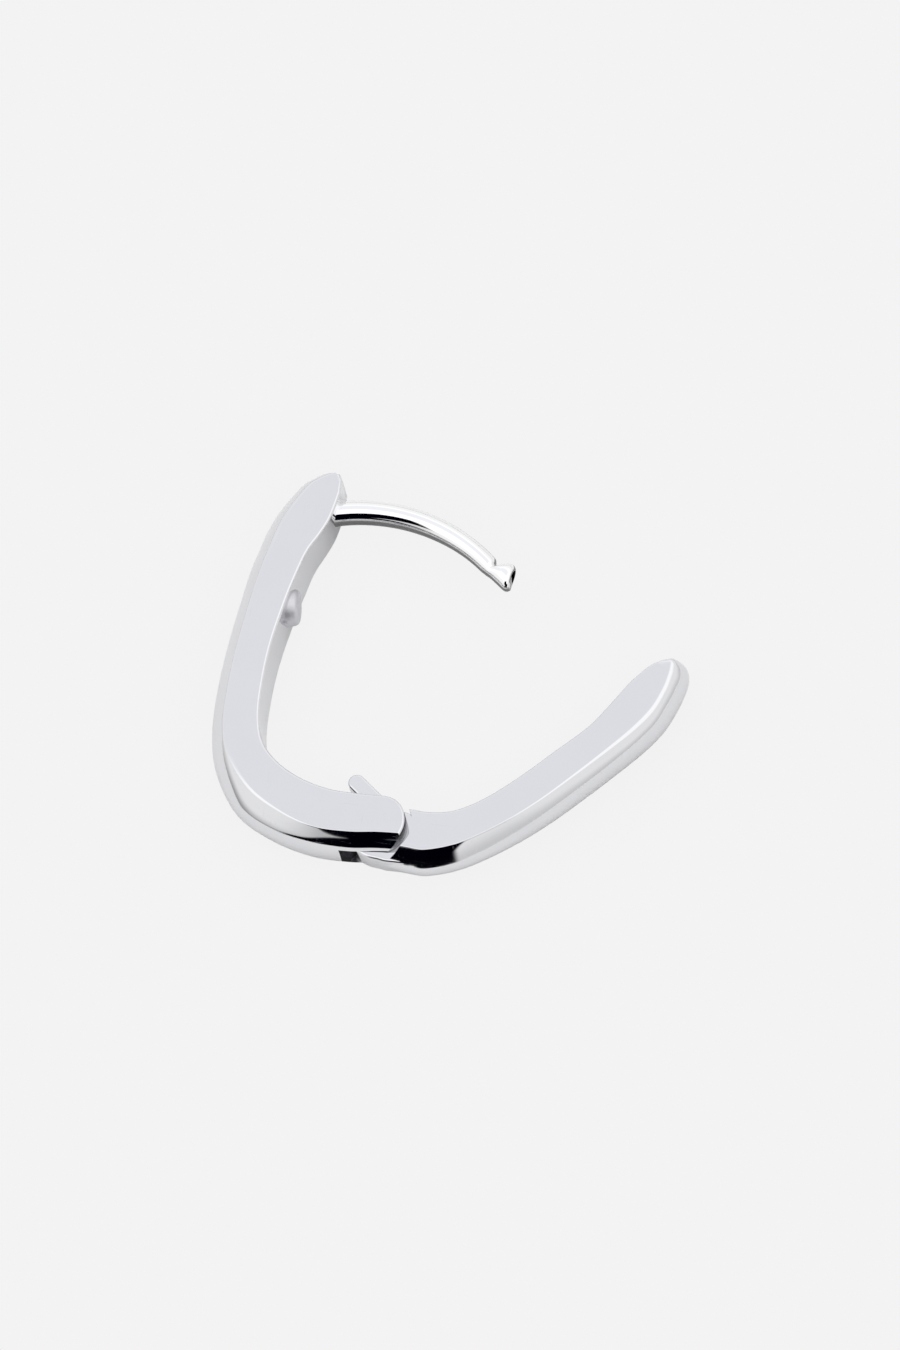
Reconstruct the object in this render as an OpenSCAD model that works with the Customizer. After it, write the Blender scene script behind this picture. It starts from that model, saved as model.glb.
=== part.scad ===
// Hinged huggie earring, opened and lying on its side.
// The hinge axis stands on the origin, and the flat lower side of the front arm lies in z = 0.

/* [Hoop] */
// Thickness of the front arm, which is the width of the earring seen from the front
front_t = 2.5; // [2.4:0.05:2.7]
// Thickness of the back arm
back_t = 2.15; // [2:0.05:2.3]
// Radius of the edge between the sides and the inner wall
edge_r = 0.13; // [0.08:0.01:0.2]

/* [Hinge] */
// Thickness of the tongue that turns in the fork
tongue_t = 1.0; // [0.9:0.05:1.05]
// Free gap on each side of the tongue
tongue_gap = 0.03; // [0.02:0.01:0.06]
// Radius of the hinge pin
pin_r = 0.35; // [0.3:0.05:0.4]
// Length of the hinge pin
pin_l = 1.8; // [1.6:0.1:2]
// Half the width of the fork's round ends, across the arm
fork_r = 1.18; // [1.14:0.01:1.2]
// Reach of the fork's round ends past the hinge axis
fork_reach = 1.04; // [1:0.01:1.12]
// Radius of the hollow in the back arm's shoulder, which turns about the ends of the fork
shoulder_r = 1.5; // [1.48:0.01:1.52]
// Radius of the tongue's eye about the pin
eye_r = 0.95; // [0.85:0.05:0.95]
// Radius of the tongue's heel, which shows in the slot on the outer side
heel_r = 1.54; // [1.4:0.02:1.6]
// Angle that the back arm turns through from the pose shown to the closed hoop
close_deg = 40; // [38:1:41]

/* [Snap tail] */
// Length of the tail, from the hinge axis to its round end
tail_l = 2.76; // [2.6:0.02:2.8]
// Width of the tail
tail_w = 0.72; // [0.6:0.02:0.76]
// Thickness of the tail
tail_t = 0.6; // [0.5:0.05:0.9]
// Distance of the tail's middle line from the hinge axis
tail_off = 0.6; // [0.56:0.02:0.62]
// Direction of the tail in the pose shown
tail_deg = 142; // [140:1:143]

/* [Ear wire] */
// Radius of the arc that the ear wire follows
wire_arc_r = 7.65; // [7.6:0.05:7.7]
// Scale of the ear wire's own thickness
wire_scale = 1; // [0.9:0.02:1]

/* [Socket] */
// Height of the slot that takes the tip of the ear wire
socket_h = 1.1; // [1:0.05:1.2]

/* [Tag] */
// Radius of the plain raised tag on the inner wall
tag_r = 0.76; // [0.7:0.02:0.8]
// Height of the tag above the inner wall
tag_h = 0.36; // [0.3:0.02:0.4]
// Place of the tag along the hoop
tag_y = 9.68; // [9:0.1:10.2]

/* [Hidden] */
$fn = 48;

mid_z = front_t / 2;
fit_gap = 0.01;
run_gap = 0.03;
tiny = 0.02;
beyond = 30;

// Columns of both arm tables: the inner edge, the outermost line, the depth of the outer round,
// and the thickness as a share of the arm's own
IX = 0;
IY = 1;
OX = 2;
OY = 3;
ROUND = 4;
THICK = 5;

// Front arm, from its free tip round the elbow to the fork
front_rows = [
    [-4.66, 15.36, -4.88, 15.74, 0.10, 0.62],
    [-4.68, 15.28, -4.98, 15.78, 0.18, 0.71],
    [-4.67, 15.20, -5.28, 15.86, 0.30, 0.73],
    [-4.66, 15.10, -5.68, 15.75, 0.40, 0.74],
    [-4.65, 14.95, -6.10, 15.44, 0.45, 0.75],
    [-4.64, 14.66, -6.50, 15.03, 0.48, 0.76],
    [-4.79, 13.55, -7.15, 13.79, 0.56, 0.82],
    [-5.05, 12.75, -7.48, 12.77, 0.60, 0.86],
    [-5.40, 11.90, -7.64, 11.91, 0.62, 0.92],
    [-5.62, 10.90, -7.81, 10.95, 0.64, 0.97],
    [-5.87, 9.40, -7.95, 9.40, 0.62, 1.00],
    [-6.10, 7.30, -8.10, 7.30, 0.62, 1.00],
    [-6.10, 5.40, -8.12, 5.19, 0.62, 1.00],
    [-5.96, 4.00, -7.95, 3.28, 0.62, 1.00],
    [-5.58, 2.86, -7.43, 1.62, 0.70, 1.00],
    [-4.81, 2.04, -6.27, -0.02, 0.88, 1.00],
    [-3.72, 1.44, -4.62, -0.94, 0.80, 1.00],
    [-2.45, 1.10, -2.92, -1.38, 0.66, 1.00],
    [-1.20, 1.05, -1.30, -1.43, 0.66, 1.00],
    [0.00, 1.08, 0.00, -1.28, 0.66, 1.00],
    [1.30, 1.08, 1.30, -1.21, 0.66, 1.00],
];

// Back arm in the pose shown, from the hinge to its free end
back_rows = [
    [-0.15, 0.70, -0.15, -1.48, 0.30, 0.46],
    [0.12, 0.70, 0.12, -1.53, 0.44, 0.66],
    [0.40, 0.70, 0.40, -1.57, 0.56, 0.90],
    [0.70, 0.70, 0.70, -1.62, 0.60, 1.00],
    [1.30, 0.69, 1.35, -1.69, 0.60, 1.00],
    [1.94, 0.67, 2.20, -1.68, 0.60, 1.00],
    [2.92, 0.87, 3.62, -1.14, 0.57, 1.00],
    [4.08, 1.58, 5.27, 0.00, 0.55, 1.00],
    [5.36, 2.77, 6.70, 1.28, 0.55, 1.00],
    [6.65, 4.17, 8.08, 2.78, 0.55, 1.00],
    [7.77, 5.40, 9.27, 4.16, 0.55, 1.00],
    [8.46, 6.49, 10.13, 5.23, 0.55, 1.00],
    [9.10, 7.63, 10.74, 6.19, 0.55, 0.99],
    [9.62, 8.34, 11.12, 7.22, 0.54, 0.97],
    [9.90, 8.64, 11.31, 8.05, 0.52, 0.95],
    [10.05, 8.75, 11.34, 8.52, 0.50, 0.93],
    [10.16, 8.82, 11.25, 8.90, 0.44, 0.91],
    [10.25, 8.88, 11.04, 9.14, 0.34, 0.89],
    [10.33, 8.93, 10.80, 9.21, 0.18, 0.87],
    [10.38, 8.99, 10.70, 9.19, 0.10, 0.78],
];

// Ear wire: centre of its arc, and a table of the angle along the arc, the reach towards the
// centre, the reach away from it, the reach to each side, and the slant of the section
wire_centre = [-2.88, 6.79];
ANGLE = 0;
REACH_IN = 1;
REACH_OUT = 2;
REACH_SIDE = 3;
SLANT = 4;
wire_rows = [
    [107.0, 0.60, 0.60, 0.60, 0],
    [104.0, 0.56, 0.56, 0.56, 0],
    [101.0, 0.52, 0.52, 0.52, 0],
    [88.0, 0.51, 0.51, 0.51, 0],
    [72.0, 0.48, 0.48, 0.48, 0],
    [58.0, 0.43, 0.43, 0.43, 0],
    [51.0, 0.41, 0.41, 0.41, 0],
    [49.5, 0.39, 0.34, 0.40, 0],
    [48.2, 0.36, 0.21, 0.36, 0],
    [46.8, 0.31, 0.52, 0.41, 0.2],
    [45.2, 0.27, 0.74, 0.45, 0.7],
    [43.4, 0.22, 0.81, 0.46, 1.4],
    [41.8, 0.18, 0.79, 0.44, 2.0],
    [41.0, 0.16, 0.70, 0.38, 2.2],
];

// Height of the middle of the fork's round ends in plan
fork_y = -0.10;
// Middle of the hollow in the back arm's shoulder, in the pose shown
shoulder_at = [-0.18, -0.15];
// Plan of the slot in the fork: a slanted end on the outer side, and a pocket for the tail
slot_end = [[-1.10, -2.20], [-2.30, -0.30], [-3.10, 0.10], [-3.10, 2.00]];
slot_mouth = [[3.00, 2.00], [3.00, -2.20]];
// Side of the tongue's heel, and the stretch that joins the tongue to the shoulder
heel_top = -0.20;
root_plan = [[0.00, 0.94], [1.30, 0.68], [1.90, 0.60], [1.90, -1.40], [1.20, -1.58], [0.35, -1.60], [0.00, -1.56], [-0.20, -1.50]];
// Plan of the socket for the tip of the ear wire, with the hoop closed
socket_mouth = [[2.90, 11.40], [1.50, 11.40], [1.50, 13.40], [2.30, 13.30]];
socket_back = [[3.20, 12.95], [3.62, 12.50], [3.62, 11.95]];
// The tag's foot: how deep it sits in the wall, how far it spreads, and the slope of the wall there
tag_foot = 0.26;
tag_spread = 0.16;
tag_slope = 8;

// Smooth curve through the rows of a table, with the given number of steps between two rows
function spline(a, b, c, d, t) =
    0.5 * (2 * b + (c - a) * t + (2 * a - 5 * b + 4 * c - d) * t * t
        + (3 * b - a - 3 * c + d) * t * t * t);
function smooth(rows, steps) =
    let (last = len(rows) - 1)
    [for (i = [0:last - 1])
        for (k = [0:i == last - 1 ? steps : steps - 1])
            spline(rows[max(i - 1, 0)], rows[i], rows[i + 1], rows[min(i + 2, last)], k / steps)];

// Cross-section of an arm: flat sides, small inner edges, and an outer wall that is one arc, which
// meets the sides at an edge
function arm_ring(row, full_t, steps) =
    let (
        inner = [row[IX], row[IY]],
        span = [row[OX], row[OY]] - inner,
        w = norm(span),
        u = span / w,
        d = row[ROUND],
        h = min(row[THICK], 1) * full_t / 2,
        arc_r = (h * h + d * d) / (2 * d),
        half_turn = asin(h / arc_r),
        r = min(edge_r, h / 2),
        profile = concat(
            [for (k = [0:steps]) let (a = half_turn * (1 - 2 * k / steps))
                [w - arc_r + arc_r * cos(a), arc_r * sin(a)]],
            [for (a = [270:-45:180]) [r + r * cos(a), -h + r + r * sin(a)]],
            [for (a = [180:-45:90]) [r + r * cos(a), h - r + r * sin(a)]]
        )
    )
    [for (p = profile) [inner[0] + u[0] * p[0], inner[1] + u[1] * p[0], mid_z + p[1]]];

// Cross-section of the ear wire: an ellipse across the arc, slanted towards the cut end
function wire_ring(row, sides) =
    let (
        middle = wire_arc_r + wire_scale * (row[REACH_OUT] - row[REACH_IN]) / 2,
        half = wire_scale * (row[REACH_OUT] + row[REACH_IN]) / 2,
        side = wire_scale * row[REACH_SIDE]
    )
    [for (k = [0:sides - 1])
        let (a = 360 * k / sides, turn = row[ANGLE] + row[SLANT] * cos(a))
        let (q = wire_centre + [cos(turn), sin(turn)] * (middle + half * cos(a)))
        [q[0], q[1], mid_z + side * sin(a)]];

// Closed skin over a list of rings with equal numbers of points
module loft(rings) {
    n = len(rings[0]);
    last = len(rings) - 1;
    polyhedron(
        points = [for (r = rings) each r],
        faces = concat(
            [[for (k = [0:n - 1]) k]],
            [for (i = [0:last - 1]) for (k = [0:n - 1])
                [i * n + k, (i + 1) * n + k, (i + 1) * n + (k + 1) % n, i * n + (k + 1) % n]],
            [[for (k = [n - 1:-1:0]) last * n + k]]
        ),
        convexity = 8
    );
}

// A plan extruded to the given height, half of it above the middle plane and half below
module slab(height) {
    translate([0, 0, mid_z - height / 2]) linear_extrude(height) children();
}

// Plan of all that lies on the arm's side of the fork's round ends
module fork_plan() {
    translate([-beyond, -beyond]) square([beyond, 2 * beyond]);
    translate([0, fork_y]) scale([fork_reach / fork_r, 1]) circle(r = fork_r);
}

// Plain raised tag, turned to stand on the sloping inner wall
module tag() {
    wall_x = lookup(tag_y, [for (row = front_rows) [row[IY], row[IX]]]);
    translate([wall_x - tag_foot, tag_y, mid_z]) rotate([0, 90, tag_slope])
        cylinder(r1 = tag_r + tag_spread, r2 = tag_r - tag_spread / 2, h = tag_foot + tag_h);
}

module front_arm() color([0.86, 0.86, 0.88]) difference() {
    union() {
        intersection() {
            loft([for (row = smooth(front_rows, 3)) arm_ring(row, front_t, 10)]);
            slab(2 * front_t) fork_plan();
        }
        loft([for (row = smooth(wire_rows, 2)) wire_ring(row, 14)]);
        tag();
    }
    slab(tongue_t + 2 * tongue_gap) polygon(concat(slot_end, slot_mouth));
    slab(pin_l + 2 * fit_gap) circle(r = pin_r + fit_gap);
}

// Plan of the tongue: a round eye about the pin, a fuller heel on the outer side, and its root
module tongue_plan() {
    circle(r = eye_r);
    intersection() {
        circle(r = heel_r);
        translate([-beyond, -beyond]) square([2 * beyond, beyond + heel_top]);
    }
    polygon(root_plan);
}

// Plan of the tail, which snaps into the fork's slot when the hoop closes
module tail_plan() rotate(tail_deg) {
    straight = tail_l - tail_w / 2;
    translate([0, -tail_off - tail_w / 2]) square([straight, tail_w]);
    translate([straight, -tail_off]) circle(r = tail_w / 2);
}

module back_arm() color([0.80, 0.80, 0.83]) difference() {
    union() {
        difference() {
            loft([for (row = smooth(back_rows, 3)) arm_ring(row, back_t, 10)]);
            translate(shoulder_at) slab(2 * front_t) circle(r = shoulder_r);
        }
        slab(tongue_t) tongue_plan();
        slab(tail_t) tail_plan();
    }
    slab(front_t + 2 * tiny) circle(r = pin_r + run_gap);
    rotate(-close_deg) slab(socket_h) polygon(concat(socket_mouth, socket_back));
}

module hinge_pin() color([0.7, 0.7, 0.72]) slab(pin_l) circle(r = pin_r);

front_arm();
back_arm();
hinge_pin();
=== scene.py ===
import bmesh
import bpy
import numpy as np
from mathutils import Matrix


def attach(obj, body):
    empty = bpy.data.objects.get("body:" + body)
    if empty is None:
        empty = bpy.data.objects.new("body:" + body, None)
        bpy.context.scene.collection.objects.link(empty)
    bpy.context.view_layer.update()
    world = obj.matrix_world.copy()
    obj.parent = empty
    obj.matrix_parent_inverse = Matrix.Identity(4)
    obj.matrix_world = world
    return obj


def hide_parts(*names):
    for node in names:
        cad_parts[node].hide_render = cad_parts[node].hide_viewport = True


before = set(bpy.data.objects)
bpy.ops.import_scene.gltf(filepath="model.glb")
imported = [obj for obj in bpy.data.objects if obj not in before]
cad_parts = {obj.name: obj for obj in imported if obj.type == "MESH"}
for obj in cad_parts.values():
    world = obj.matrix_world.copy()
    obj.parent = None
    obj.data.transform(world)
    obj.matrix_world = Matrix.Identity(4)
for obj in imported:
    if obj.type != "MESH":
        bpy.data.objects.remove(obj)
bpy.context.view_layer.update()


# FRONT ARM
# The front half of the oval hoop: cast silver, filed flat on both sides, rounded on its outer wall
# and polished like a mirror. Its lower end is sawn into a fork with round ends, which holds the
# tongue of the back arm on a rivet.

MM = 0.001
MID_Z = 1.25
FRONT_THICKNESS = 2.5
INNER_EDGE = 0.13
SLOT_HALF = 0.53
FORK_CENTRE = (0.0, -0.10)
FORK_REACH = (1.04, 1.18)
FORK_EDGE = 0.14
FORK_OVER = 0.004
PIN_BORE = 0.36
PIN_BORE_HALF = 0.91
NOSE_OUT = 0.04

# inner edge x and y, outermost line x and y, depth of the outer round, thickness as a share of the
# arm's own, softness of the edge between the side and the outer round, share of the half thickness
# that the round nose takes up, bow of the bevel in degrees
FRONT_ROWS = np.array([
    [-4.66, 15.36, -4.88, 15.74, 0.10, 0.62, 0.05, 0.5, 8],
    [-4.68, 15.28, -4.98, 15.78, 0.18, 0.71, 0.10, 0.5, 8],
    [-4.67, 15.20, -5.28, 15.86, 0.30, 0.73, 0.16, 0.5, 10],
    [-4.66, 15.10, -5.68, 15.75, 0.40, 0.74, 0.20, 0.5, 12],
    [-4.65, 14.95, -6.10, 15.44, 0.45, 0.75, 0.24, 0.5, 12],
    [-4.64, 14.66, -6.50, 15.03, 0.48, 0.76, 0.26, 0.5, 12],
    [-4.79, 13.55, -7.15, 13.79, 0.56, 0.82, 0.28, 0.5, 12],
    [-5.05, 12.75, -7.48, 12.77, 0.60, 0.86, 0.30, 0.5, 12],
    [-5.40, 11.90, -7.64, 11.91, 0.62, 0.92, 0.30, 0.5, 12],
    [-5.62, 10.90, -7.81, 10.95, 0.64, 0.97, 0.32, 0.5, 12],
    [-5.87, 9.40, -7.95, 9.40, 0.62, 1.00, 0.32, 0.5, 12],
    [-6.10, 7.30, -8.10, 7.30, 0.62, 1.00, 0.32, 0.5, 12],
    [-6.10, 5.40, -8.12, 5.19, 0.62, 1.00, 0.32, 0.5, 12],
    [-5.96, 4.00, -7.95, 3.28, 0.62, 1.00, 0.34, 0.5, 12],
    [-5.58, 2.86, -7.43, 1.62, 0.70, 1.00, 0.36, 0.5, 12],
    [-4.81, 2.04, -6.27, -0.02, 0.88, 1.00, 0.34, 0.5, 10],
    [-3.72, 1.44, -4.62, -0.94, 0.80, 1.00, 0.18, 0.55, 6],
    [-2.45, 1.10, -2.92, -1.38, 0.66, 1.00, 0.08, 0.66, 4],
    [-1.20, 1.05, -1.30, -1.43, 0.66, 1.00, 0.06, 0.65, 4],
    [0.00, 1.08, 0.00, -1.28, 0.66, 1.00, 0.06, 0.65, 4],
    [1.30, 1.08, 1.30, -1.21, 0.66, 1.00, 0.06, 0.65, 4],
])


def smooth_rows(rows, steps):
    """Catmull-Rom curve through the rows: between two rows each column is a cubic whose slope at a
    row is half the difference of that row's neighbours."""
    padded = np.vstack([rows[:1], rows, rows[-1:]])
    t = np.linspace(0, 1, steps, endpoint=False)[:, None]
    a, b, c, d = (padded[k:len(rows) - 1 + k][:, None] for k in range(4))
    curve = b + t / 2 * (c - a + t * (2 * a - 5 * b + 4 * c - d + t * (3 * b - a - 3 * c + d)))
    return np.vstack([curve.reshape(-1, rows.shape[1]), rows[-1:]])


def bevel_tilt(half, depth, nose, bow):
    """Tilt at which the bevel meets the round nose. It is found by halving an interval: a steeper
    nose leaves less depth for the bevel, whose chord must lie a little flatter than its end."""
    low, high = np.full_like(half, np.radians(5)), np.full_like(half, np.radians(89))
    for _ in range(40):
        tilt = (low + high) / 2
        chord = np.arctan2(half * (1 - nose), depth - nose * half * np.tan((np.pi / 2 - tilt) / 2))
        steep = chord < tilt - bow
        low, high = np.where(steep, low, tilt), np.where(steep, tilt, high)
    return tilt


def arm_surface(rows, thickness):
    """Grid of points, one ring for each row. A ring is a chain of arcs, each given by its centre,
    its radius and the tilt of its normal from upright: round inner edge, soft outer edge, slightly
    bowed bevel, round nose, and the same again below."""
    inner, outer = rows[:, 0:2], rows[:, 2:4]
    width = np.linalg.norm(outer - inner, axis=1)
    across = (outer - inner) / width[:, None]
    width = width + NOSE_OUT
    half = np.minimum(rows[:, 5], 1) * thickness / 2
    depth, soft, nose, bow = rows[:, 4] + NOSE_OUT, rows[:, 6], rows[:, 7], np.radians(rows[:, 8])
    end = bevel_tilt(half, depth, nose, bow)
    tip = nose * half / np.cos(end)
    out_end, up_end = width - tip * (1 - np.sin(end)), nose * half
    run, fall = out_end - width + depth, half - up_end
    large = np.hypot(run, fall) / (2 * np.sin(end - np.arctan2(fall, run)))
    bevel_out, bevel_up = out_end - large * np.sin(end), up_end - large * np.cos(end)
    lean = np.arccos((half - soft - bevel_up) / (large - soft))
    soft_out = bevel_out + (large - soft) * np.sin(lean)
    small = np.minimum(INNER_EDGE, half / 2)
    quarter, edge, slope, front = (np.linspace(0, 1, count) for count in (6, 8, 8, 15))
    flat = np.zeros_like(half)
    arcs = [
        (small, half - small, small, -np.pi / 2 + flat, flat, quarter),
        (soft_out, half - soft, soft, flat, lean, edge),
        (bevel_out, bevel_up, large, lean, end, slope[1:-1]),
        (width - tip, flat, tip, end, np.pi - end, front),
        (bevel_out, -bevel_up, large, np.pi - end, np.pi - lean, slope[1:-1]),
        (soft_out, soft - half, soft, np.pi - lean, np.pi + flat, edge),
        (small, small - half, small, np.pi + flat, np.pi * 1.5 + flat, quarter),
    ]
    out, up, tilts = [], [], []
    for centre, height, radius, start, stop, share in arcs:
        tilt = start[:, None] + (stop - start)[:, None] * share
        tilts.append(tilt)
        out.append(centre[:, None] + radius[:, None] * np.sin(tilt))
        up.append(height[:, None] + radius[:, None] * np.cos(tilt))
    out, up, tilts = (np.concatenate(parts, axis=1) for parts in (out, up, tilts))
    points = np.empty(out.shape + (3,))
    points[..., :2] = inner[:, None] + across[:, None] * out[..., None]
    points[..., 2] = MID_Z + up
    outward = np.concatenate([across[:, None] * np.sin(tilts)[..., None], np.cos(tilts)[..., None]], axis=-1)
    around = np.concatenate([across[:, None] * np.cos(tilts)[..., None], -np.sin(tilts)[..., None]], axis=-1)
    return points, facing(np.cross(around, np.gradient(points, axis=0)), outward)


def facing(normals, outward):
    """Unit normals, each turned to the side that the outward direction points to."""
    normals = normals / np.maximum(np.linalg.norm(normals, axis=-1, keepdims=True), 1e-12)
    side = np.sign(np.sum(normals * outward, axis=-1, keepdims=True))
    return normals * np.where(side == 0, 1, side)


# place of a face that doesn't lie on its piece's grid
NO_PLACE = -1.0
# least share of a corner's normals, so that an outline's sharp corners don't draw in too far
MITRE_LIMIT = 0.3


def skin(name, points, materials, finish=0):
    """Closed skin over a grid of points: quads join each ring to the next, and a flat face closes
    either end. One UV map holds the place in the grid, the other the way along and around in mm."""
    rings, sides = points.shape[:2]
    i, j = np.meshgrid(np.arange(rings - 1), np.arange(sides), indexing="ij")
    row = np.stack([i, i + 1, i + 1, i], axis=-1).reshape(-1, 4)
    col = np.stack([j, j, j + 1, j + 1], axis=-1).reshape(-1, 4)
    quads = row * sides + col % sides
    ends = [list(range(sides)), list(range((rings - 1) * sides, rings * sides))]
    mesh = bpy.data.meshes.new(name)
    mesh.from_pydata(points.reshape(-1, 3), [], quads.tolist() + ends)
    along = np.append(0, np.cumsum(np.linalg.norm(np.diff(points.mean(axis=1), axis=0), axis=1)))
    loop = np.concatenate([points, points[:, :1]], axis=1)
    around = np.append(0, np.cumsum(np.linalg.norm(np.diff(loop, axis=1), axis=2).mean(axis=0)))
    blank = np.full((2 * sides, 2), NO_PLACE)
    places = {"grid": np.stack([row, col], axis=-1), "skin": np.stack([along[row], around[col]], axis=-1)}
    for layer, place in places.items():
        uv = np.vstack([place.reshape(-1, 2), blank])
        mesh.uv_layers.new(name=layer).uv.foreach_set("vector", uv.astype(np.float32).ravel())
    for material in materials:
        mesh.materials.append(material)
    mesh.polygons.foreach_set("material_index", np.full(len(mesh.polygons), finish, np.int32))
    turn_outwards(mesh)
    piece = bpy.data.objects.new(name, mesh)
    bpy.context.scene.collection.objects.link(piece)
    return piece


def turn_outwards(mesh):
    """Makes all faces of a closed mesh point outwards."""
    loose = bmesh.new()
    loose.from_mesh(mesh)
    bmesh.ops.recalc_face_normals(loose, faces=loose.faces)
    loose.to_mesh(mesh)
    loose.free()


def forget_place(piece):
    """Marks a cutter's faces, so that they keep their own normals on the piece that they cut."""
    blank = np.full(2 * len(piece.data.loops), NO_PLACE, np.float32)
    for layer in piece.data.uv_layers:
        layer.uv.foreach_set("vector", blank)
    return piece


def plate(name, outline, low, high, rim, materials, finish=0):
    """Plate with round rims: the outline goes up from the low to the high face, and towards each
    face it draws in along its own normals by the share of a quarter circle. Round rims stay
    polished, whatever the finish of the wall between them."""
    before, after = np.roll(outline, 1, axis=0), np.roll(outline, -1, axis=0)
    first, second = outline - before, after - outline
    first /= np.linalg.norm(first, axis=1)[:, None]
    second /= np.linalg.norm(second, axis=1)[:, None]
    inward = np.stack([-(first + second)[:, 1], (first + second)[:, 0]], axis=1)
    inward /= np.maximum(1 + np.sum(first * second, axis=1), MITRE_LIMIT)[:, None]
    turn = np.radians([0, 18, 36, 54, 72, 90]) if rim else np.zeros(1)
    inset = rim * np.concatenate([1 - np.cos(turn[::-1]), 1 - np.cos(turn)])
    level = np.concatenate([low + rim - rim * np.sin(turn[::-1]), high - rim + rim * np.sin(turn)])
    flat = outline + inward * inset[:, None, None]
    points = np.concatenate([flat, np.broadcast_to(level[:, None, None], flat.shape[:2] + (1,))], axis=-1)
    piece = forget_place(skin(name, points, materials, finish))
    if rim:
        wall, sides = len(turn) - 1, len(outline)
        kinds = np.zeros(len(piece.data.polygons), np.int32)
        kinds[wall * sides:(wall + 1) * sides] = finish
        piece.data.polygons.foreach_set("material_index", kinds)
    return piece


def arc(centre, radius, start, stop, count):
    """Points of a circle about the centre, between two angles in degrees."""
    turn = np.radians(np.linspace(start, stop, count))
    return np.stack([centre[0] + radius * np.cos(turn), centre[1] + radius * np.sin(turn)], axis=1)


def circle(centre, radius, count):
    """Points of a whole circle about the centre."""
    return arc(centre, radius, 0, 360 - 360 / count, count)


def combine(piece, tool, operation):
    """Cuts the piece with the tool, joins them, or keeps what both hold, and removes the tool."""
    step = piece.modifiers.new("shape", "BOOLEAN")
    step.operation = operation
    step.solver = "EXACT"
    step.object = tool
    shaped = bpy.data.meshes.new_from_object(piece.evaluated_get(bpy.context.evaluated_depsgraph_get()))
    piece.modifiers.clear()
    piece.data = shaped
    bpy.data.objects.remove(tool)


SHARP_TURN = np.radians(40)
# a face with more corners than this is a flat side or end
MANY_CORNERS = 8


def polish(piece, normals=None):
    """Smooth shading up to sharp edges. Where a face still has its place in the grid, its normals
    are looked up between the grid's own, so that reflections run as smoothly as on the metal."""
    mesh = piece.data
    mesh.shade_smooth()
    mesh.set_sharp_from_angle(angle=SHARP_TURN)
    own = np.empty(3 * len(mesh.loops), np.float32)
    mesh.corner_normals.foreach_get("vector", own)
    own = own.reshape(-1, 3).astype(float)
    face = np.empty(3 * len(mesh.polygons), np.float32)
    mesh.polygon_normals.foreach_get("vector", face)
    corners = np.empty(len(mesh.polygons), np.int32)
    mesh.polygons.foreach_get("loop_total", corners)
    flat = np.repeat(face.reshape(-1, 3), corners, axis=0)
    broad = np.repeat(corners > MANY_CORNERS, corners)
    own[broad] = flat[broad]
    if normals is not None:
        place = np.empty(2 * len(mesh.loops), np.float32)
        mesh.uv_layers["grid"].uv.foreach_get("vector", place)
        row, col = place.reshape(-1, 2).astype(float).T
        known = row > NO_PLACE / 2
        rings, sides = normals.shape[:2]
        r0 = np.clip(np.floor(row + 1e-4).astype(int), 0, rings - 2)
        c0 = np.floor(col + 1e-4).astype(int)
        fr, fc = (row - r0)[:, None], (col - c0)[:, None]
        mixed = sum(
            share * normals[r0 + a, (c0 + b) % sides]
            for a, b, share in (
                (0, 0, (1 - fr) * (1 - fc)), (1, 0, fr * (1 - fc)), (0, 1, (1 - fr) * fc), (1, 1, fr * fc),
            )
        )
        own[known] = mixed[known]
    own /= np.maximum(np.linalg.norm(own, axis=1), 1e-12)[:, None]
    mesh.normals_split_custom_set(own.tolist())
    mesh.uv_layers.remove(mesh.uv_layers["grid"])


def fit(piece, body, node):
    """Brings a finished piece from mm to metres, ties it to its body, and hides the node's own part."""
    piece.data.transform(Matrix.Scale(MM, 4))
    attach(piece, body)
    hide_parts(node)


def new_group(name, inputs, outputs):
    """Empty shader node group with its sockets, given as name, type and value."""
    group = bpy.data.node_groups.new(name, "ShaderNodeTree")
    for label, kind, value in inputs:
        socket = group.interface.new_socket(name=label, in_out="INPUT", socket_type=kind)
        socket.default_value = value
    for label, kind in outputs:
        group.interface.new_socket(name=label, in_out="OUTPUT", socket_type=kind)
    return group, group.nodes.new("NodeGroupInput"), group.nodes.new("NodeGroupOutput")


def feed(tree, socket, value):
    """Gives a node's input a fixed value, or links another node's output to it."""
    if hasattr(value, "links"):
        tree.links.new(value, socket)
    else:
        socket.default_value = value


def maths(tree, operation, *values):
    """One Math node, on fixed values or on other nodes' outputs."""
    node = tree.nodes.new("ShaderNodeMath")
    node.operation = operation
    for socket, value in zip(node.inputs, values):
        feed(tree, socket, value)
    return node.outputs[0]


def blend(tree, share, low, high):
    """Mix of two colours."""
    node = tree.nodes.new("ShaderNodeMix")
    node.data_type = "RGBA"
    for socket, value in ((node.inputs[0], share), (node.inputs[6], low), (node.inputs[7], high)):
        feed(tree, socket, value)
    return node.outputs[2]


def remap(tree, value, given_range, new_range, smooth=False):
    """Takes a value from one range to another, in a straight line or as a smooth step."""
    node = tree.nodes.new("ShaderNodeMapRange")
    if smooth:
        node.interpolation_type = "SMOOTHSTEP"
    feed(tree, node.inputs["Value"], value)
    for label, bound in zip(("From Min", "From Max", "To Min", "To Max"), (*given_range, *new_range)):
        feed(tree, node.inputs[label], bound)
    return node.outputs["Result"]


# a hairline scratch is where the noise passes its level; heights of the scratches and of the brush's
# lines are shares of the slow waves' height
HAIR_LEVEL = 0.735
HAIR_HEIGHT = -0.04
LINE_HEIGHT = 0.02


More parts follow.
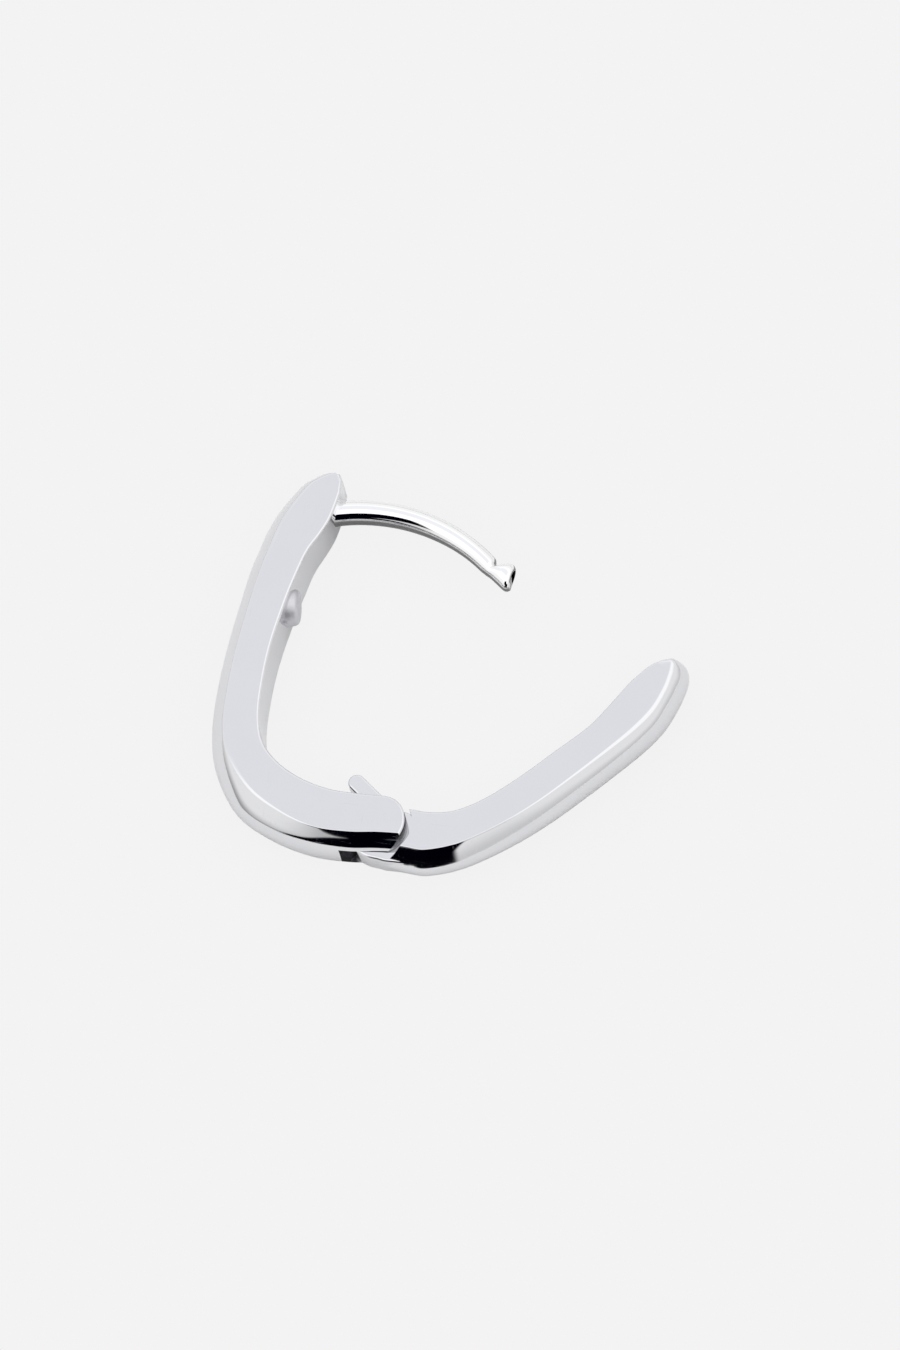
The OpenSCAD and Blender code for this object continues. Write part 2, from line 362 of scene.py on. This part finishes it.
def polishing_marks():
    """Node group: fine lines that the polishing brush leaves along the metal, hairline scratches
    from wear that run every way, and slow unevenness of a hand-polished surface."""
    group, given, result = new_group(
        "Polishing marks",
        [("Way", "NodeSocketVector", (0, 0, 0)), ("Place", "NodeSocketVector", (0, 0, 0)),
         ("Lines", "NodeSocketFloat", 1.0), ("Scratches", "NodeSocketFloat", 1.0)],
        [("Height", "NodeSocketFloat"), ("Haze", "NodeSocketFloat")],
    )
    nodes, links = group.nodes, group.links

    def noise(vector, stretch, scale, detail):
        """Noise texture on a stretched vector."""
        mapping = nodes.new("ShaderNodeMapping")
        mapping.inputs["Scale"].default_value = stretch
        texture = nodes.new("ShaderNodeTexNoise")
        texture.inputs["Scale"].default_value = scale
        texture.inputs["Detail"].default_value = detail
        links.new(vector, mapping.inputs["Vector"])
        links.new(mapping.outputs["Vector"], texture.inputs["Vector"])
        return texture.outputs["Fac"]

    lines = noise(given.outputs["Way"], (0.5, 34.0, 1.0), 1.0, 2.0)
    waves = noise(given.outputs["Place"], (1.0, 1.0, 1.0), 650.0, 1.0)
    smear = noise(given.outputs["Place"], (1.0, 1.0, 1.0), 420.0, 4.0)
    scratch_a = noise(given.outputs["Place"], (600.0, 16000.0, 3000.0), 1.0, 1.0)
    scratch_b = noise(given.outputs["Place"], (14000.0, 900.0, 3000.0), 1.0, 1.0)
    hairs = maths(group, "GREATER_THAN", maths(group, "MAXIMUM", scratch_a, scratch_b), HAIR_LEVEL)
    hairs = maths(group, "MULTIPLY", hairs, given.outputs["Scratches"])
    fine = maths(group, "MULTIPLY", maths(group, "MULTIPLY", lines, given.outputs["Lines"]), LINE_HEIGHT)
    worn = maths(group, "MULTIPLY", hairs, HAIR_HEIGHT)
    links.new(maths(group, "ADD", maths(group, "ADD", waves, fine), worn), result.inputs["Height"])
    links.new(maths(group, "ADD", smear, hairs), result.inputs["Haze"])
    return group


# upward part of a face's normal where the painted shade on downward faces begins, and where it is full
PAINTED_SHADE_RANGE = (0.58, 0.34)
# haze at which the metal is as smooth as it gets, and as dull
HAZE_RANGE = (0.35, 1.2)


def metal(name, marks, colour, shade, smooth, hazy, relief, lines=1.0, scratches=1.0, downward_painted_shade=1.0):
    """Metal whose colour wanders between two tones, and whose roughness follows its polish. On faces
    that turn downwards its colour is darkened by the last factor: painted shade."""
    material = bpy.data.materials.new(name)
    material.use_nodes = True
    tree = material.node_tree
    nodes, links = tree.nodes, tree.links
    shader = nodes["Principled BSDF"]
    shader.inputs["Metallic"].default_value = 1.0
    where = nodes.new("ShaderNodeTexCoord")
    way = nodes.new("ShaderNodeUVMap")
    way.uv_map = "skin"
    wear = nodes.new("ShaderNodeGroup")
    wear.node_tree = marks
    wear.inputs["Lines"].default_value = lines
    wear.inputs["Scratches"].default_value = scratches
    links.new(way.outputs["UV"], wear.inputs["Way"])
    links.new(where.outputs["Object"], wear.inputs["Place"])
    tone = blend(tree, wear.outputs["Haze"], (*colour, 1), (*shade, 1))
    # painted shade: the colour darkens on faces that turn downwards
    facing_up = nodes.new("ShaderNodeSeparateXYZ")
    links.new(nodes.new("ShaderNodeNewGeometry").outputs["Normal"], facing_up.inputs["Vector"])
    painted_shade = nodes.new("ShaderNodeVectorMath")
    painted_shade.operation = "SCALE"
    links.new(tone, painted_shade.inputs["Vector"])
    links.new(remap(tree, facing_up.outputs["Z"], PAINTED_SHADE_RANGE, (1.0, downward_painted_shade), smooth=True), painted_shade.inputs["Scale"])
    links.new(painted_shade.outputs["Vector"], shader.inputs["Base Color"])
    links.new(remap(tree, wear.outputs["Haze"], HAZE_RANGE, (smooth, hazy)), shader.inputs["Roughness"])
    bump = nodes.new("ShaderNodeBump")
    bump.inputs["Strength"].default_value = 1.0
    bump.inputs["Distance"].default_value = relief
    links.new(wear.outputs["Height"], bump.inputs["Height"])
    links.new(bump.outputs["Normal"], shader.inputs["Normal"])
    return material


marks = polishing_marks()
polished = metal(
    "polished cast silver", marks, (0.755, 0.757, 0.775), (0.73, 0.732, 0.75),
    smooth=0.04, hazy=0.14, relief=5e-6,
)
# sawn faces of the slot, the bores and the socket: a duller sawn finish, whose darker colour is painted
# shade in these recesses
sawn_and_shaded = metal(
    "sawn silver with painted recess shade", marks, (0.55, 0.55, 0.57), (0.36, 0.36, 0.38),
    smooth=0.22, hazy=0.5, relief=1.5e-5, scratches=0.4,
)
# end wall of the fork and hollow of the shoulder: darker silver that paints the shade in the gap between
# them
hinge_gap_shade = metal(
    "silver with painted shade of the hinge gap", marks, (0.44, 0.44, 0.45), (0.28, 0.28, 0.29),
    smooth=0.18, hazy=0.40, relief=1e-5,
)
# material slots: polished; sawn with painted recess shade; painted shade of the hinge gap
FINISHES = (polished, sawn_and_shaded, hinge_gap_shade)
SAWN_AND_SHADED, HINGE_GAP_SHADE = 1, 2

front_points, front_normals = arm_surface(smooth_rows(FRONT_ROWS, 6), FRONT_THICKNESS)
front_arm = skin("front_arm_polished", front_points, FINISHES)
fork_plan = np.vstack([
    [[-30, 30], [-30, -30], [0, -30]],
    arc((0, 0), 1, -90, 90, 49) * FORK_REACH + FORK_CENTRE,
    [[0, 30]],
])
# the fork's round end wall carries the painted shade of the hinge gap
fork = plate("fork_end", fork_plan, -FORK_OVER, FRONT_THICKNESS + FORK_OVER, FORK_EDGE, FINISHES, HINGE_GAP_SHADE)
slot_plan = np.array([
    [-1.10, -2.20], [3.00, -2.20], [3.00, 2.00], [-3.10, 2.00], [-3.10, 0.10], [-2.30, -0.30],
])
# the slot's walls are sawn, with painted shade in the recess
slot = plate("slot", slot_plan, MID_Z - SLOT_HALF, MID_Z + SLOT_HALF, 0, FINISHES, SAWN_AND_SHADED)
combine(fork, slot, "DIFFERENCE")
bore_plan = circle((0, 0), PIN_BORE, 48)
bore = plate("bore", bore_plan, MID_Z - PIN_BORE_HALF, MID_Z + PIN_BORE_HALF, 0, FINISHES, SAWN_AND_SHADED)
combine(fork, bore, "DIFFERENCE")
combine(front_arm, fork, "INTERSECT")
polish(front_arm, front_normals)
fit(front_arm, "front", "front_arm")


# EAR WIRE
# Round silver wire, soldered on end into the inner wall of the front arm and bent to an arc. It
# thins towards its tip, which is notched, swells to a small lobe for the snap, and is rounded off.

WIRE_CENTRE = np.array([-2.88, 6.79])
WIRE_ARC = 7.65
# angle along the arc, reach towards its centre, reach away from it, reach to each side, slant of
# the section
WIRE_ROWS = np.array([
    [107.0, 0.54, 0.54, 0.54, 0],
    [104.0, 0.53, 0.53, 0.53, 0],
    [101.0, 0.52, 0.52, 0.52, 0],
    [88.0, 0.51, 0.51, 0.51, 0],
    [72.0, 0.48, 0.48, 0.48, 0],
    [58.0, 0.43, 0.43, 0.43, 0],
    [51.0, 0.41, 0.41, 0.41, 0],
    [49.5, 0.39, 0.34, 0.40, 0],
    [48.2, 0.36, 0.21, 0.36, 0],
    [46.8, 0.31, 0.52, 0.41, 0.2],
    [45.2, 0.27, 0.74, 0.45, 0.7],
    [43.6, 0.22, 0.81, 0.46, 1.4],
    [42.2, 0.17, 0.78, 0.44, 1.8],
    [41.4, 0.08, 0.68, 0.36, 2.0],
    [41.0, -0.06, 0.50, 0.24, 2.0],
])


def wire_surface(rows, sides):
    """Grid of points: at each angle of the arc stands an ellipse across the wire, whose middle
    lies between the two reaches in the plane of the hoop. A slanted one leans along the arc."""
    middle = WIRE_ARC + (rows[:, 2] - rows[:, 1]) / 2
    half = (rows[:, 2] + rows[:, 1]) / 2
    a = np.linspace(0, 2 * np.pi, sides, endpoint=False)
    turn = np.radians(rows[:, :1] + rows[:, 4:] * np.cos(a))
    reach = middle[:, None] + half[:, None] * np.cos(a)
    points = np.stack([
        WIRE_CENTRE[0] + reach * np.cos(turn),
        WIRE_CENTRE[1] + reach * np.sin(turn),
        MID_Z + rows[:, 3:4] * np.sin(a),
    ], axis=-1)
    around = np.roll(points, -1, axis=1) - np.roll(points, 1, axis=1)
    outward = points - points.mean(axis=1, keepdims=True)
    return points, facing(np.cross(around, np.gradient(points, axis=0)), outward)


# painted shade: the wire's downward faces are darkened to a fifth of their colour
mirror = metal(
    "mirror polished silver wire", marks, (0.93, 0.93, 0.935), (0.90, 0.90, 0.905),
    smooth=0.02, hazy=0.09, relief=4e-6, downward_painted_shade=0.2,
)
wire_points, wire_normals = wire_surface(smooth_rows(WIRE_ROWS, 6), 48)
ear_wire = skin("ear_wire", wire_points, (mirror,))
polish(ear_wire, wire_normals)
fit(ear_wire, "front", "front_arm")


# PLAIN TAG
# Small round button, pressed from silver sheet with a low dome and soldered to the inner wall of the
# front arm. It is bare.

TAG_AT = (-5.83, 9.68)
TAG_SLOPE = 8
# distance from the button's middle, height above the inner wall
TAG_PROFILE = np.array([
    [0.84, -0.26], [0.82, 0.00], [0.79, 0.06], [0.77, 0.16], [0.72, 0.25], [0.62, 0.31],
    [0.46, 0.34], [0.28, 0.36], [0.10, 0.365], [0.02, 0.365],
])

satin = metal(
    "satin silver", marks, (0.74, 0.74, 0.77), (0.54, 0.54, 0.57),
    smooth=0.46, hazy=0.62, relief=3e-5, lines=0.6,
)
round_about = circle((0, 0), 1, 72)
tag_points = np.empty((len(TAG_PROFILE), len(round_about), 3))
tag_points[..., :2] = TAG_PROFILE[:, :1, None] * round_about
tag_points[..., 2] = TAG_PROFILE[:, 1:]
tag = forget_place(skin("plain_tag", tag_points, (satin,)))
stand = Matrix.Rotation(np.radians(TAG_SLOPE), 4, "Z") @ Matrix.Rotation(np.pi / 2, 4, "Y")
tag.data.transform(Matrix.Translation((*TAG_AT, MID_Z)) @ stand)
polish(tag)
fit(tag, "front", "front_arm")


# BACK ARM
# The other half of the hoop, cast and polished in the same way. A hollow in its shoulder turns about
# the fork's round ends, and a slot inside its free end takes the tip of the ear wire.

BACK_THICKNESS = 2.15
SHOULDER_AT = (-0.18, -0.15)
SHOULDER_RADIUS = 1.5
CLOSE_TURN = -40
SOCKET_HALF = 0.55
# heights between which a cutter goes right through the metal
THROUGH = (-1, 4)

BACK_ROWS = np.array([
    [-0.15, 0.70, -0.15, -1.48, 0.30, 0.46, 0.06, 0.34, 4],
    [0.12, 0.70, 0.12, -1.53, 0.44, 0.66, 0.08, 0.34, 4],
    [0.40, 0.70, 0.40, -1.57, 0.56, 0.90, 0.10, 0.34, 4],
    [0.70, 0.70, 0.70, -1.62, 0.60, 1.00, 0.10, 0.34, 4],
    [1.30, 0.69, 1.35, -1.69, 0.60, 1.00, 0.09, 0.34, 4],
    [1.94, 0.67, 2.20, -1.68, 0.60, 1.00, 0.08, 0.34, 4],
    [2.92, 0.87, 3.62, -1.14, 0.57, 1.00, 0.06, 0.34, 4],
    [4.08, 1.58, 5.27, 0.00, 0.55, 1.00, 0.07, 0.34, 4],
    [5.36, 2.77, 6.70, 1.28, 0.55, 1.00, 0.10, 0.38, 6],
    [6.65, 4.17, 8.08, 2.78, 0.55, 1.00, 0.16, 0.44, 8],
    [7.77, 5.40, 9.27, 4.16, 0.55, 1.00, 0.24, 0.50, 10],
    [8.46, 6.49, 10.13, 5.23, 0.55, 1.00, 0.32, 0.50, 12],
    [9.10, 7.63, 10.74, 6.19, 0.56, 0.99, 0.40, 0.50, 12],
    [9.62, 8.34, 11.12, 7.22, 0.58, 0.97, 0.46, 0.50, 12],
    [9.90, 8.64, 11.31, 8.05, 0.60, 0.95, 0.48, 0.50, 12],
    [10.05, 8.75, 11.34, 8.52, 0.58, 0.93, 0.46, 0.50, 12],
    [10.16, 8.82, 11.25, 8.86, 0.50, 0.91, 0.38, 0.50, 12],
    [10.24, 8.86, 11.05, 9.08, 0.38, 0.88, 0.26, 0.50, 10],
    [10.33, 8.90, 10.86, 9.13, 0.24, 0.82, 0.12, 0.50, 8],
    [10.40, 8.94, 10.72, 9.09, 0.12, 0.70, 0.05, 0.50, 6],
])

back_points, back_normals = arm_surface(smooth_rows(BACK_ROWS, 6), BACK_THICKNESS)
back_arm = skin("back_arm_polished", back_points, FINISHES)
shoulder_plan = circle(SHOULDER_AT, SHOULDER_RADIUS, 120)
# the shoulder hollow's wall carries the painted shade of the hinge gap
combine(back_arm, plate("shoulder", shoulder_plan, *THROUGH, 0, FINISHES, HINGE_GAP_SHADE), "DIFFERENCE")
# the socket is drawn where it stands with the hoop closed, and turned back
turn = Matrix.Rotation(np.radians(CLOSE_TURN), 2)
socket_plan = np.array([
    [2.90, 11.40], [3.62, 11.95], [3.62, 12.50], [3.20, 12.95], [2.30, 13.30], [1.50, 13.40], [1.50, 11.40],
]) @ np.array(turn).T
# the socket's walls are sawn, with painted shade in the recess
socket = plate("socket", socket_plan, MID_Z - SOCKET_HALF, MID_Z + SOCKET_HALF, 0, FINISHES, SAWN_AND_SHADED)
combine(back_arm, socket, "DIFFERENCE")
polish(back_arm, back_normals)
fit(back_arm, "back", "back_arm")


# TONGUE AND SNAP TAIL
# One flat silver plate, cast on to the back arm. Its round eye turns on the rivet between the sides
# of the fork, its fuller heel shows in the slot, and its tail snaps into the slot as the hoop closes.

TONGUE_HALF = 0.5
TONGUE_RIM = 0.12
EYE_RADIUS = 0.95
HEEL_RADIUS = 1.54
TONGUE_BORE = 0.38
TAIL_HALF = 0.3
TAIL_RIM = 0.1
TAIL_LENGTH = 2.76
TAIL_WIDTH = 0.72
TAIL_OFFSET = 0.6
TAIL_TURN = 142

tongue_plan = np.vstack([
    [[1.90, -1.40], [1.90, 0.60], [1.30, 0.68]],
    arc((0, 0), EYE_RADIUS, 79, 192, 39),
    arc((0, 0), HEEL_RADIUS, 187.5, 270, 33),
    [[0.35, -1.60], [1.20, -1.58]],
])
tongue = plate("hinge_tongue", tongue_plan, MID_Z - TONGUE_HALF, MID_Z + TONGUE_HALF, TONGUE_RIM, FINISHES)
tail_turn = np.array(Matrix.Rotation(np.radians(TAIL_TURN), 2))
straight = TAIL_LENGTH - TAIL_WIDTH / 2
tail_plan = np.vstack([
    [[0, -TAIL_OFFSET + TAIL_WIDTH / 2], [0, -TAIL_OFFSET - TAIL_WIDTH / 2]],
    arc((straight, -TAIL_OFFSET), TAIL_WIDTH / 2, -90, 90, 25),
]) @ tail_turn.T
tail = plate("snap_tail", tail_plan, MID_Z - TAIL_HALF, MID_Z + TAIL_HALF, TAIL_RIM, FINISHES)
combine(tongue, tail, "UNION")
bore = plate("tongue_bore", circle((0, 0), TONGUE_BORE, 48), *THROUGH, 0, FINISHES, SAWN_AND_SHADED)
combine(tongue, bore, "DIFFERENCE")
polish(tongue)
fit(tongue, "back", "back_arm")


# HINGE PIN
# Length of drawn silver wire, riveted through the fork and the tongue, and filed flush. Its ends
# don't show.

drawn = metal(
    "drawn silver wire", marks, (0.84, 0.84, 0.86), (0.74, 0.74, 0.77),
    smooth=0.16, hazy=0.34, relief=8e-6, scratches=0.6,
)
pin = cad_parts["hinge_pin"]
pin.data.materials.clear()
pin.data.materials.append(drawn)


# SURFACE
# Plain pale sheet that the earring lies on. To the camera it is one even tone that darkens a little
# where the metal shades it, and in the metal it shows as a lit matt sheet.

PALE = (0.896, 0.896, 0.896)
IN_SHADE = 0.965
SHADE_REACH = 0.003

sheet_mesh = bpy.data.meshes.new("pale_sheet")
sheet_mesh.from_pydata([(-2, -2, 0), (2, -2, 0), (2, 2, 0), (-2, 2, 0)], [], [(0, 1, 2, 3)])
sheet = bpy.data.objects.new("pale_sheet", sheet_mesh)
bpy.context.scene.collection.objects.link(sheet)
sheet_look = bpy.data.materials.new("pale sheet")
sheet_look.use_nodes = True
nodes, links = sheet_look.node_tree.nodes, sheet_look.node_tree.links
matt = nodes["Principled BSDF"]
matt.inputs["Base Color"].default_value = (0.96, 0.96, 0.96, 1)
matt.inputs["Roughness"].default_value = 1.0
matt.inputs["Specular IOR Level"].default_value = 0.0
shade = nodes.new("ShaderNodeAmbientOcclusion")
shade.samples = 8
shade.inputs["Distance"].default_value = SHADE_REACH
glow = nodes.new("ShaderNodeEmission")
glow.inputs["Color"].default_value = (*PALE, 1)
ray = nodes.new("ShaderNodeLightPath")
choice = nodes.new("ShaderNodeMixShader")
links.new(remap(sheet_look.node_tree, shade.outputs["AO"], (0, 1), (IN_SHADE, 1)), glow.inputs["Strength"])
links.new(ray.outputs["Is Camera Ray"], choice.inputs["Fac"])
links.new(matt.outputs["BSDF"], choice.inputs[1])
links.new(glow.outputs["Emission"], choice.inputs[2])
links.new(choice.outputs["Shader"], nodes["Material Output"].inputs["Surface"])
sheet_mesh.materials.append(sheet_look)


# STUDIO LIGHT
# White tent all round, brighter overhead and dimmer along the table's edge, with a cool panel high
# behind the earring and one dark card standing on the camera's side. Everything is a function of
# the direction in the room.

AZIMUTH = np.radians(25)
TOWARDS = (np.sin(AZIMUTH), -np.cos(AZIMUTH), 0)
RIGHTWARDS = (np.cos(AZIMUTH), np.sin(AZIMUTH), 0)
# the card's edges as seen from the earring, in degrees above the table and to the right of the camera
CARD_TOP = 58.0
CARD_LEFT = -66.0
CARD_RIGHT = 4.0
NOTCH_LEFT = 28.0
NOTCH_RISE = 20.0
NOTCH_SPAN = 13.0
LEFT_SOFT = 7.0
RIGHT_SOFT = 5.0
FLAP_RIGHT = 22.0
FLAP_FOOT = (9, 21)
FLAP_HEAD = (40, 30)
STRIP_RIGHT = 48.0
STRIP_FOOT = (CARD_TOP - 7, CARD_TOP - 3)
CLOTH_LEFT = -74.0
# shares of the card's darkness
CLOTH_DARK = 0.42
STRIP_DARK = 0.85
# what the tent gains overhead, and loses along the table's edge and more to the left there
OVERHEAD_GAIN = 0.27
OVERHEAD_RISE = (30, 48)
EDGE_LOSS = 0.28
EDGE_RISE = (15, 0)
LEFT_LOSS = 0.34
LEFT_START = (-38, -55)
LEFT_END = (-125, -95)
TENT = (1.0, 1.0, 1.0, 1)
CARD = (0.0, 0.0, 0.002, 1)
PANEL = (0.961, 0.966, 1.005, 1)
# way to the middle of each part of the panel, and the cosines at its edge and where it is full
PANEL_PARTS = (((-0.19, 0.41, 0.89), 0.90, 0.985), ((-0.62, 0.39, 0.67), 0.90, 0.97))

world = bpy.data.worlds.new("studio")
bpy.context.scene.world = world
world.use_nodes = True
room = world.node_tree
nodes, links = room.nodes, room.links
ray_way = nodes.new("ShaderNodeTexCoord").outputs["Generated"]


def calc(operation, *values):
    """One Math node of the studio light."""
    return maths(room, operation, *values)


def along(direction):
    """How far the ray goes along a direction of the room."""
    node = nodes.new("ShaderNodeVectorMath")
    node.operation = "DOT_PRODUCT"
    node.inputs[1].default_value = direction
    links.new(ray_way, node.inputs[0])
    return node.outputs["Value"]


def ramp(value, start, stop):
    """Smooth step from 0 at start to 1 at stop, which may be sockets."""
    return remap(room, value, (start, stop), (0, 1), smooth=True)


swing = calc("DEGREES", calc("ARCTAN2", along(RIGHTWARDS), along(TOWARDS)))
rise = calc("DEGREES", calc("ARCSINE", along((0, 0, 1))))
# the notch in the card's left side, and the flap half way up on its right
notch = calc("DIVIDE", calc("ABSOLUTE", calc("SUBTRACT", rise, NOTCH_RISE)), NOTCH_SPAN)
notch = calc("MAXIMUM", calc("SUBTRACT", 1.0, notch), 0.0)
left = calc("ADD", CARD_LEFT, calc("MULTIPLY", notch, NOTCH_LEFT))
flap = calc("MULTIPLY", calc("MULTIPLY", ramp(rise, *FLAP_FOOT), ramp(rise, *FLAP_HEAD)), FLAP_RIGHT)
right = calc("ADD", CARD_RIGHT, flap)
left_side = ramp(swing, left, calc("ADD", left, LEFT_SOFT))
right_side = ramp(swing, right, calc("SUBTRACT", right, RIGHT_SOFT))
card = calc("MULTIPLY", left_side, right_side)
# grey cloth behind the card's notched left side, and the card's bent upper strip on its right
cloth = calc("MULTIPLY", ramp(swing, CLOTH_LEFT, CARD_LEFT + NOTCH_LEFT), CLOTH_DARK)
cloth = calc("MULTIPLY", cloth, ramp(swing, CARD_RIGHT, CARD_RIGHT - 7))
card = calc("MAXIMUM", card, cloth)
strip = calc("MULTIPLY", ramp(swing, STRIP_RIGHT, CARD_RIGHT - 2), ramp(swing, CARD_LEFT, 0))
strip = calc("MULTIPLY", strip, calc("MULTIPLY", ramp(rise, *STRIP_FOOT), STRIP_DARK))
card = calc("MULTIPLY", calc("MAXIMUM", card, strip), ramp(rise, CARD_TOP + 0.7, CARD_TOP - 0.7))
card = calc("MULTIPLY", card, ramp(rise, -0.5, 0.5))
panel = 0.0
for way, start, full in PANEL_PARTS:
    panel = calc("MAXIMUM", panel, ramp(along(way), start, full))
beside = calc("SUBTRACT", 1.0, panel)
overhead = calc("MULTIPLY", calc("MULTIPLY", ramp(rise, *OVERHEAD_RISE), beside), OVERHEAD_GAIN)
edge = calc("MULTIPLY", ramp(swing, *LEFT_START), ramp(swing, *LEFT_END))
edge = calc("MULTIPLY", ramp(rise, *EDGE_RISE), calc("ADD", EDGE_LOSS, calc("MULTIPLY", edge, LEFT_LOSS)))
tent = nodes["Background"]
links.new(blend(room, card, blend(room, panel, TENT, PANEL), CARD), tent.inputs["Color"])
links.new(calc("SUBTRACT", calc("ADD", 1.0, overhead), edge), tent.inputs["Strength"])
plain = nodes.new("ShaderNodeBackground")
plain.inputs["Color"].default_value = (*PALE, 1)
seen = nodes.new("ShaderNodeLightPath")
pick = nodes.new("ShaderNodeMixShader")
links.new(seen.outputs["Is Camera Ray"], pick.inputs["Fac"])
links.new(tent.outputs["Background"], pick.inputs[1])
links.new(plain.outputs["Background"], pick.inputs[2])
links.new(pick.outputs["Shader"], nodes["World Output"].inputs["Surface"])


# CAMERA
# Long lens from 1.25 m, 63 degrees above the surface, turned about its own line of sight as the
# photograph is.

ELEVATION = np.radians(63)
ROLL = np.radians(15.7)
DISTANCE = 1250
AIM_RIGHT, AIM_UP, AIM_NEAR = 2.890, 5.946, -3.5
TOP_OF_HINGE = np.array([0, 0, 2.5])

look = np.append(np.array(TOWARDS[:2]) * np.cos(ELEVATION), np.sin(ELEVATION))
level = np.array(RIGHTWARDS)
upright = np.cross(look, level)
rightwards = np.cos(ROLL) * level - np.sin(ROLL) * upright
upwards = np.sin(ROLL) * level + np.cos(ROLL) * upright
aim = TOP_OF_HINGE + AIM_RIGHT * rightwards + AIM_UP * upwards
aim = aim + look * (AIM_NEAR - (aim - TOP_OF_HINGE) @ look)
lens = bpy.data.cameras.new("camera")
lens.lens = 800
lens.sensor_width = 36
lens.clip_start = 0.1
lens.clip_end = 10
camera = bpy.data.objects.new("camera", lens)
bpy.context.scene.collection.objects.link(camera)
turned = np.eye(4)
turned[:3, 0], turned[:3, 1], turned[:3, 2] = rightwards, upwards, look
turned[:3, 3] = (aim + look * DISTANCE) * MM
camera.matrix_world = Matrix(turned.tolist())
bpy.context.scene.camera = camera
bpy.context.scene.view_settings.view_transform = "Standard"
